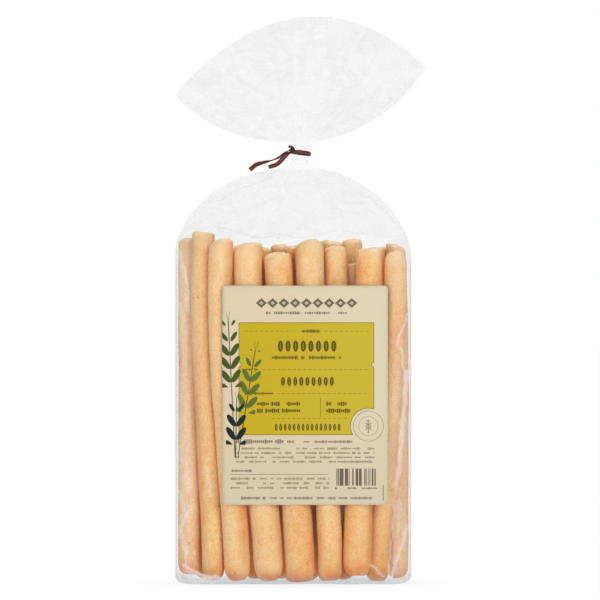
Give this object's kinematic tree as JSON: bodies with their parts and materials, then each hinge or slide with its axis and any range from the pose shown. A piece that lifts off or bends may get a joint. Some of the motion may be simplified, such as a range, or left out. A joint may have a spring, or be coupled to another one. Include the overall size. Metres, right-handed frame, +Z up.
{
  "type": "bag of breadsticks",
  "caption": "Clear block-bottom bag of thick grissini breadsticks standing upright, gathered and tied at the neck, with a paper label on its front.",
  "frame": {"origin": "centre of the flat base that the bag stands on", "axes": "+Z up from the base to the open fan of film, +X to the viewer's right when facing the label, -Y out of the label"},
  "size_m": [0.1594, 0.0446, 0.3582],
  "materials": {
    "clear_film": "glossy",
    "crust": "matte",
    "label_paper": "matte",
    "tie_strip": "satin"
  },
  "bodies": {
    "root": {"bag": "clear_film", "label": "label_paper", "tie": "tie_strip"}
  },
  "joints": []
}
